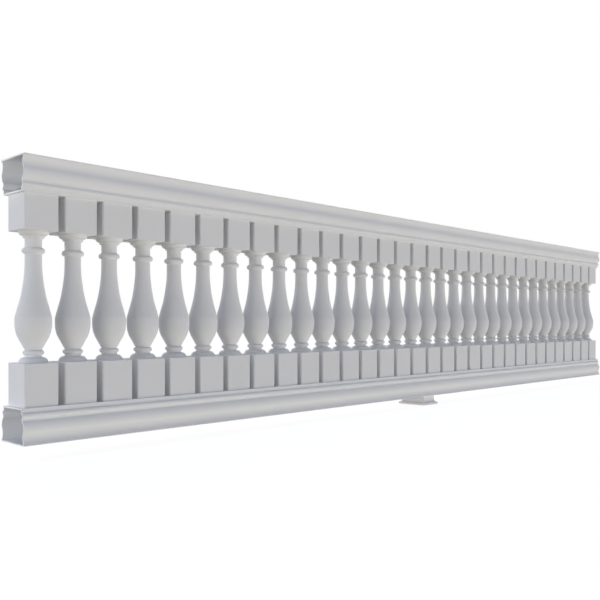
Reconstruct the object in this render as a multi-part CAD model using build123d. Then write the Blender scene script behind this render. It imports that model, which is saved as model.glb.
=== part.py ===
from build123d import *
import os

# One straight balustrade panel: two hollow moulded rails, a row of turned balusters
# between them and a support foot under the middle of the lower rail.
# Lengths are in millimetres. X runs along the panel, Z is up, the origin is the
# centre of the foot's underside.

# Layout of the row
baluster_count = 32
block_width = 127.0
block_gap = 25.4

# Rails
rail_height = 127.0
rail_overhang = 25.4
band_reveal = 7.5
rail_wall = 5.0
lip_radius = 2.5

# Baluster blocks
top_block_height = 127.0
bottom_block_height = 152.4
block_edge_radius = 5.5
block_rim_radius = 2.5

# Turned shaft, radii and how far each moulding stands out from the neck
neck_radius = 29.2
waist_radius = 27.2
belly_inset = 0.4
base_projection = 21.8
lower_ring_projection = 7.4
upper_ring_projection = 10.4
cap_lip_projection = 7.2
cap_projection = 22.2

# Turned shaft, heights from the bottom block upwards
base_height = 19.5
lower_neck_height = 7.5
lower_ring_height = 17.0
vase_height = 340.5
upper_ring_height = 21.0
upper_neck_height = 34.5
cap_lip_height = 6.5
cap_height = 16.5

# Support foot
foot_height = 50.8
foot_length = 107.0
foot_cove_radius = 15.5
foot_plate_height = 11.5

# Rail moulding, each place as a share of the moulding depth in from the lip edge
# and a share of the rail height away from the lip face
lip_end_shares = (0.0, 0.032)
throat_shares = (0.58, 0.205)
fold_shares = (0.38, 0.335)
crest_shares = (0.10, 0.480)
quirk_shares = (0.81, 0.675)
bead_start_shares = (0.81, 0.735)
bead_shares = (0.46, 0.803)
band_start_shares = (1.0, 0.885)

# Vase outline, each place as a share of the way from the neck radius to the belly
# radius and a share of the vase height: a round bulb up to a creased shoulder, then
# a hollow taper up to the neck
bulb_shares = ((0.35, 0.068), (0.825, 0.163), (1.0, 0.277))
shoulder_shares = (0.985, 0.343)
taper_shares = ((0.755, 0.429), (0.504, 0.518), (0.310, 0.608), (0.055, 0.798))
vase_foot_slope_share = 0.85
bulb_top_slope_share = -0.10
taper_slope_share = -0.27
quarter_bulge_share = 0.5 ** 0.5

# Sizes that follow from the ones above
pitch = block_width + block_gap
rail_length = baluster_count * pitch
lip_half = block_width / 2 + rail_overhang
band_half = block_width / 2 + band_reveal
moulding_depth = lip_half - band_half
belly_radius = block_width / 2 - belly_inset
foot_depth = 2 * (lip_half - foot_cove_radius)
turned_height = (
    base_height
    + lower_neck_height
    + lower_ring_height
    + vase_height
    + upper_ring_height
    + upper_neck_height
    + cap_lip_height
    + cap_height
)
baluster_height = bottom_block_height + turned_height + top_block_height
bottom_rail_level = foot_height
baluster_level = bottom_rail_level + rail_height
top_rail_level = baluster_level + baluster_height


# Rail section with the lip face at height zero and the moulding running down
def moulding_point(shares):
    inset_share, height_share = shares
    return (lip_half - inset_share * moulding_depth, -height_share * rail_height)


def rail_section():
    lip_corner = (lip_half, 0)
    lip_end = moulding_point(lip_end_shares)
    fold = moulding_point(fold_shares)
    quirk = moulding_point(quirk_shares)
    bead_start = moulding_point(bead_start_shares)
    band_start = moulding_point(band_start_shares)
    band_end = (band_half, -rail_height)
    half = [
        Line((0, 0), lip_corner),
        Line(lip_corner, lip_end),
        ThreePointArc(lip_end, moulding_point(throat_shares), fold),
        ThreePointArc(fold, moulding_point(crest_shares), quirk),
        Line(quirk, bead_start),
        ThreePointArc(bead_start, moulding_point(bead_shares), band_start),
        Line(band_start, band_end),
        Line(band_end, (0, -rail_height)),
    ]
    outline = Curve() + half
    outline += mirror(outline, about=Plane.YZ)
    outer = make_face(outline.edges())
    hollow = offset(outer, amount=-rail_wall)
    lip_vertices = outer.vertices().group_by(Axis.Y)[-1].sort_by(Axis.X)
    rounded = fillet([lip_vertices[0], lip_vertices[-1]], lip_radius)
    return rounded - hollow


# Rails: the top one has its lip upwards, the bottom one is the same section turned over
def rail():
    section = Plane.YZ * rail_section()
    return extrude(section, amount=rail_length / 2, both=True)


def top_rail():
    return Pos(0, 0, top_rail_level + rail_height) * rail()


def bottom_rail():
    return Pos(0, 0, bottom_rail_level) * mirror(rail(), about=Plane.XY)


# Turned shaft: half outline in the XZ plane, from the base ovolo up to the cap
def ring_arc(start_level, height, projection):
    return ThreePointArc(
        (neck_radius, start_level),
        (neck_radius + projection, start_level + height / 2),
        (neck_radius, start_level + height),
    )


def quarter_arc(inner, outer):
    bulge = (
        inner[0] + (outer[0] - inner[0]) * quarter_bulge_share,
        outer[1] + (inner[1] - outer[1]) * quarter_bulge_share,
    )
    return ThreePointArc(inner, bulge, outer)


def vase_point(shares, start_level):
    radius_share, height_share = shares
    swell = belly_radius - neck_radius
    return (neck_radius + radius_share * swell, start_level + height_share * vase_height)


def vase_curves(start_level):
    foot = (waist_radius, start_level)
    bulb = [vase_point(shares, start_level) for shares in bulb_shares]
    shoulder = vase_point(shoulder_shares, start_level)
    taper = [vase_point(shares, start_level) for shares in taper_shares]
    neck = (neck_radius, start_level + vase_height)
    bulb_tangents = [(vase_foot_slope_share, 1), (bulb_top_slope_share, 1)]
    taper_tangents = [(taper_slope_share, 1), (0, 1)]
    return [
        Spline(foot, *bulb, shoulder, tangents=bulb_tangents),
        Spline(shoulder, *taper, neck, tangents=taper_tangents),
    ]


def shaft_outline():
    base_top = base_height
    lower_ring_start = base_top + lower_neck_height
    vase_start = lower_ring_start + lower_ring_height
    upper_ring_start = vase_start + vase_height
    upper_neck_start = upper_ring_start + upper_ring_height
    cap_lip_start = upper_neck_start + upper_neck_height
    cap_start = cap_lip_start + cap_lip_height
    cap_lip_radius = neck_radius + cap_lip_projection
    return [
        Line((0, 0), (neck_radius + base_projection, 0)),
        quarter_arc((neck_radius, base_top), (neck_radius + base_projection, 0)),
        Line((neck_radius, base_top), (neck_radius, lower_ring_start)),
        ring_arc(lower_ring_start, lower_ring_height, lower_ring_projection),
        Line((neck_radius, vase_start), (waist_radius, vase_start)),
        *vase_curves(vase_start),
        ring_arc(upper_ring_start, upper_ring_height, upper_ring_projection),
        Line((neck_radius, upper_neck_start), (neck_radius, cap_lip_start)),
        Line((neck_radius, cap_lip_start), (cap_lip_radius, cap_lip_start)),
        Line((cap_lip_radius, cap_lip_start), (cap_lip_radius, cap_start)),
        quarter_arc((cap_lip_radius, cap_start), (neck_radius + cap_projection, turned_height)),
        Line((neck_radius + cap_projection, turned_height), (0, turned_height)),
        Line((0, turned_height), (0, 0)),
    ]


def turned_shaft():
    face = make_face((Curve() + shaft_outline()).edges())
    return revolve(Plane.XZ * face, axis=Axis.Z)


# Baluster: bottom block, shaft and top block in one piece, standing on height zero
def block(height, shaft_side):
    body = Box(block_width, block_width, height, align=(Align.CENTER, Align.CENTER, Align.MIN))
    rounded = fillet(body.edges().filter_by(Axis.Z), block_edge_radius)
    return fillet(rounded.faces().sort_by(Axis.Z)[shaft_side].edges(), block_rim_radius)


def baluster():
    shaft_level = bottom_block_height
    top_level = bottom_block_height + turned_height
    bottom = block(bottom_block_height, -1)
    top = Pos(0, 0, top_level) * block(top_block_height, 0)
    return bottom + Pos(0, 0, shaft_level) * turned_shaft() + top


def baluster_place(index):
    return Pos((index + 1 / 2) * pitch - rail_length / 2, 0, baluster_level)


# Support foot: a base plate, a cove and a stub up to the lower rail, mitred at the corners
def foot_face(stub_width):
    stub_half = stub_width / 2
    plate_half = stub_half + foot_cove_radius
    cove_top = foot_plate_height + foot_cove_radius
    half = [
        Line((0, 0), (plate_half, 0)),
        Line((plate_half, 0), (plate_half, foot_plate_height)),
        quarter_arc((plate_half, foot_plate_height), (stub_half, cove_top)),
        Line((stub_half, cove_top), (stub_half, foot_height)),
        Line((stub_half, foot_height), (0, foot_height)),
    ]
    outline = Curve() + half
    outline += mirror(outline, about=Plane.YZ)
    return make_face(outline.edges())


def support_foot():
    seen_from_front = extrude(Plane.XZ * foot_face(foot_length), amount=foot_depth, both=True)
    seen_from_end = extrude(Plane.YZ * foot_face(foot_depth), amount=foot_length, both=True)
    return seen_from_front & seen_from_end


os.makedirs("parts", exist_ok=True)
export_step(support_foot(), "parts/support_foot.step")
export_step(bottom_rail(), "parts/bottom_rail.step")
export_step(top_rail(), "parts/top_rail.step")
one_baluster = baluster()
for index in range(baluster_count):
    export_step(baluster_place(index) * one_baluster, f"parts/baluster_{index + 1:02d}.step")
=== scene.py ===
import math

import bpy
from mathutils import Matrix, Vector

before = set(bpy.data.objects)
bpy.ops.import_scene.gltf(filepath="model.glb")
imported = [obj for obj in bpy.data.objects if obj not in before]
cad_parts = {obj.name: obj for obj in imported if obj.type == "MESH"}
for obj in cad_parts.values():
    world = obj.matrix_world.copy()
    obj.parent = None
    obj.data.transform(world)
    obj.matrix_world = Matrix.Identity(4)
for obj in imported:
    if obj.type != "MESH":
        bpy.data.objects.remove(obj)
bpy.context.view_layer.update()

# Floor half width in metres, and what the camera and reflections see of it
FLOOR_HALF = 60.0
FLOOR_SEEN_ALBEDO = 0.4
FLOOR_SEEN_GLOW = 0.85

# Camera, in metres and degrees, fitted to the photograph's own perspective
CAMERA_PLACE = (-3.5919, -2.4863, 0.4688)
CAMERA_YAW = 46.20
CAMERA_LENS = 44.23
CAMERA_SENSOR = 36.0
CAMERA_SHIFT_Y = 0.0389
CAMERA_REACH = 4 * FLOOR_HALF

# White satin finishes: linear colour, scales of the cloudy tone and of the skin, and the
# depth of the skin in metres. Rails and balusters are one white in a lit and a shaded copy:
# the rails' lighter colour is painted light and the balusters' darker colour is painted shade
# for the recessed blocks between the rails.
RAIL_LIT_FINISH = {
    "colour": (0.89, 0.89, 0.895),
    "cloud_scale": 5.0,
    "skin_scale": 900.0,
    "skin_depth": 0.0003,
}
BALUSTER_SHADED_FINISH = {
    "colour": (0.84, 0.84, 0.845),
    "cloud_scale": 9.0,
    "skin_scale": 700.0,
    "skin_depth": 0.0004,
}

# What both finishes share: lowest and highest tone, speckle and roughness, and the noises
CLOUD_TONES = (0.965, 1.03)
CLOUD_DETAIL = 4.0
SPECKLE_TONES = (0.985, 1.015)
SPECKLE_DETAIL = 2.0
SPECKLE_PER_SKIN = 2.2
SHEEN_ROUGHNESS = (0.40, 0.54)
SKIN_DETAIL = 3.0
SKIN_NOISE_ROUGHNESS = 0.6
SKIN_STRENGTH = 0.25
SATIN_IOR = 1.47

# Soft studio light: direction that it comes from, how narrow its lobe is, and its
# radiance. In order: a fill from the left with a cool part above it, a warm low key from
# the front right with a cool part level with the object, as in the photograph, and two
# lights from behind and above for the other sides and the top.
LIGHT_LOBES = (
    ((-1, 0, 0), 10, (3.12, 3.01, 2.94)),
    ((-0.766, 0, 0.643), 10, (0.60, 0.88, 1.30)),
    ((0.515, -0.736, -0.438), 6, (2.30, 2.19, 1.87)),
    ((0.707, -0.707, 0), 10, (0.50, 0.64, 1.13)),
    ((0, 1, 0), 2, (0.22, 0.22, 0.24)),
    ((0.4, 0.6, 0.7), 4, (0.95, 0.95, 0.98)),
)

# Small soft spots into the open left ends of the rails: place on the far inner wall that
# they aim at, where they stand from there, and their power; cone in degrees, radius in metres
END_SPOTS = (
    ((-2.40, 0.075, 1.000), (-0.80, -0.80, -0.45), (17.0, 16.8, 16.6)),
    ((-2.40, 0.075, 0.105), (-0.83, -0.83, 0.20), (14.0, 14.1, 14.6)),
)
SPOT_CONE = 7.4
SPOT_BLEND = 0.35
SPOT_RADIUS = 0.02


# Node helpers
def new_material(name):
    material = bpy.data.materials.new(name)
    material.use_nodes = True
    material.node_tree.nodes.clear()
    return material, material.node_tree.nodes, material.node_tree.links


def noise(nodes, links, coords, scale, detail, roughness=0.5):
    node = nodes.new("ShaderNodeTexNoise")
    node.inputs["Scale"].default_value = scale
    node.inputs["Detail"].default_value = detail
    node.inputs["Roughness"].default_value = roughness
    links.new(coords.outputs["Object"], node.inputs["Vector"])
    return node.outputs["Fac"]


def ramp(nodes, links, source, limits):
    node = nodes.new("ShaderNodeMapRange")
    node.inputs["To Min"].default_value, node.inputs["To Max"].default_value = limits
    links.new(source, node.inputs["Value"])
    return node.outputs["Result"]


def math_node(nodes, links, operation, source, value):
    node = nodes.new("ShaderNodeMath")
    node.operation = operation
    links.new(source, node.inputs[0])
    node.inputs[1].default_value = value
    return node.outputs["Value"]


# Satin white of a moulded stone-white composite: soft cloudy tone, fine speckle,
# uneven sheen and the faint skin of a casting
def satin_white(name, colour, cloud_scale, skin_scale, skin_depth):
    material, nodes, links = new_material(name)
    coords = nodes.new("ShaderNodeTexCoord")
    cloud = noise(nodes, links, coords, cloud_scale, CLOUD_DETAIL)
    speckle = noise(nodes, links, coords, skin_scale * SPECKLE_PER_SKIN, SPECKLE_DETAIL)
    skin = noise(nodes, links, coords, skin_scale, SKIN_DETAIL, SKIN_NOISE_ROUGHNESS)
    tone = nodes.new("ShaderNodeMix")
    tone.data_type = "RGBA"
    for side, share in zip("AB", CLOUD_TONES):
        tone.inputs[side].default_value = (*[c * share for c in colour], 1)
    links.new(cloud, tone.inputs["Factor"])
    tinted = nodes.new("ShaderNodeVectorMath")
    tinted.operation = "SCALE"
    links.new(tone.outputs["Result"], tinted.inputs[0])
    links.new(ramp(nodes, links, speckle, SPECKLE_TONES), tinted.inputs["Scale"])
    bump = nodes.new("ShaderNodeBump")
    bump.inputs["Strength"].default_value = SKIN_STRENGTH
    bump.inputs["Distance"].default_value = skin_depth
    links.new(skin, bump.inputs["Height"])
    shader = nodes.new("ShaderNodeBsdfPrincipled")
    shader.inputs["IOR"].default_value = SATIN_IOR
    links.new(tinted.outputs["Vector"], shader.inputs["Base Color"])
    links.new(ramp(nodes, links, cloud, SHEEN_ROUGHNESS), shader.inputs["Roughness"])
    links.new(bump.outputs["Normal"], shader.inputs["Normal"])
    output = nodes.new("ShaderNodeOutputMaterial")
    links.new(shader.outputs["BSDF"], output.inputs["Surface"])
    return material


def dress(names, material):
    for name in names:
        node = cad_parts[name]
        node.data.materials.clear()
        node.data.materials.append(material)


# 1 for what the camera, reflections and glass see, 0 for light on its way to the object
def seen_ray(nodes, links):
    path = nodes.new("ShaderNodeLightPath")
    seen = path.outputs["Is Camera Ray"]
    for kind in ("Is Glossy Ray", "Is Transmission Ray"):
        either = nodes.new("ShaderNodeMath")
        either.operation = "MAXIMUM"
        links.new(seen, either.inputs[0])
        links.new(path.outputs[kind], either.inputs[1])
        seen = either.outputs["Value"]
    return seen


# World: the light lobes on the object, plain white where it is seen
def build_world():
    world = bpy.data.worlds.new("studio")
    world.use_nodes = True
    nodes = world.node_tree.nodes
    links = world.node_tree.links
    nodes.clear()
    coords = nodes.new("ShaderNodeTexCoord")
    total = None
    for direction, narrowness, radiance in LIGHT_LOBES:
        aim = nodes.new("ShaderNodeVectorMath")
        aim.operation = "DOT_PRODUCT"
        links.new(coords.outputs["Generated"], aim.inputs[0])
        aim.inputs[1].default_value = Vector(direction).normalized()
        facing = math_node(nodes, links, "MAXIMUM", aim.outputs["Value"], 0.0)
        share = math_node(nodes, links, "POWER", facing, narrowness)
        lobe = nodes.new("ShaderNodeVectorMath")
        lobe.operation = "SCALE"
        lobe.inputs[0].default_value = radiance
        links.new(share, lobe.inputs["Scale"])
        if total is None:
            total = lobe.outputs["Vector"]
            continue
        added = nodes.new("ShaderNodeVectorMath")
        added.operation = "ADD"
        links.new(total, added.inputs[0])
        links.new(lobe.outputs["Vector"], added.inputs[1])
        total = added.outputs["Vector"]
    sky = nodes.new("ShaderNodeBackground")
    links.new(total, sky.inputs["Color"])
    white = nodes.new("ShaderNodeBackground")
    white.inputs["Color"].default_value = (1, 1, 1, 1)
    mixed = nodes.new("ShaderNodeMixShader")
    links.new(seen_ray(nodes, links), mixed.inputs["Fac"])
    links.new(sky.outputs["Background"], mixed.inputs[1])
    links.new(white.outputs["Background"], mixed.inputs[2])
    output = nodes.new("ShaderNodeOutputWorld")
    links.new(mixed.outputs["Shader"], output.inputs["Surface"])
    bpy.context.scene.world = world


# Floor: pale and shadowed where it is seen, nothing where it isn't
def floor_material():
    material, nodes, links = new_material("pale_floor")
    pale = nodes.new("ShaderNodeBsdfDiffuse")
    pale.inputs["Color"].default_value = (*[FLOOR_SEEN_ALBEDO] * 3, 1)
    glow = nodes.new("ShaderNodeEmission")
    glow.inputs["Strength"].default_value = FLOOR_SEEN_GLOW
    both = nodes.new("ShaderNodeAddShader")
    links.new(pale.outputs["BSDF"], both.inputs[0])
    links.new(glow.outputs["Emission"], both.inputs[1])
    mixed = nodes.new("ShaderNodeMixShader")
    links.new(seen_ray(nodes, links), mixed.inputs["Fac"])
    links.new(both.outputs["Shader"], mixed.inputs[2])
    output = nodes.new("ShaderNodeOutputMaterial")
    links.new(mixed.outputs["Shader"], output.inputs["Surface"])
    return material


# The key comes from below the horizon, so the floor neither blocks nor bounces light
def build_floor():
    mesh = bpy.data.meshes.new("floor")
    signs = ((-1, -1), (1, -1), (1, 1), (-1, 1))
    corners = [(x * FLOOR_HALF, y * FLOOR_HALF, 0) for x, y in signs]
    mesh.from_pydata(corners, [], [(0, 1, 2, 3)])
    mesh.materials.append(floor_material())
    floor = bpy.data.objects.new("floor", mesh)
    floor.visible_diffuse = False
    floor.visible_shadow = False
    bpy.context.scene.collection.objects.link(floor)


def build_spots():
    for aim, stand_off, power in END_SPOTS:
        lamp = bpy.data.lights.new("end_spot", "SPOT")
        lamp.energy = max(power)
        lamp.color = [share / max(power) for share in power]
        lamp.spot_size = math.radians(SPOT_CONE)
        lamp.spot_blend = SPOT_BLEND
        lamp.shadow_soft_size = SPOT_RADIUS
        stand = bpy.data.objects.new("end_spot", lamp)
        stand.location = Vector(aim) + Vector(stand_off)
        stand.rotation_euler = (-Vector(stand_off)).to_track_quat("-Z", "Y").to_euler()
        bpy.context.scene.collection.objects.link(stand)


def build_camera():
    camera = bpy.data.cameras.new("camera")
    camera.sensor_width = CAMERA_SENSOR
    camera.lens = CAMERA_LENS
    camera.shift_y = CAMERA_SHIFT_Y
    camera.clip_end = CAMERA_REACH
    stand = bpy.data.objects.new("camera", camera)
    stand.location = CAMERA_PLACE
    stand.rotation_euler = (math.pi / 2, 0, -math.radians(CAMERA_YAW))
    bpy.context.scene.collection.objects.link(stand)
    bpy.context.scene.camera = stand


rail_names = ["top_rail", "bottom_rail", "support_foot"]
baluster_names = sorted(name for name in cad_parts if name.startswith("baluster_"))
# Rails get the lighter, painted-light copy of the white; balusters get the darker,
# painted-shade copy
dress(rail_names, satin_white("rail_white", **RAIL_LIT_FINISH))
dress(baluster_names, satin_white("baluster_white", **BALUSTER_SHADED_FINISH))
build_world()
build_floor()
build_spots()
build_camera()
bpy.context.scene.view_settings.view_transform = "Standard"
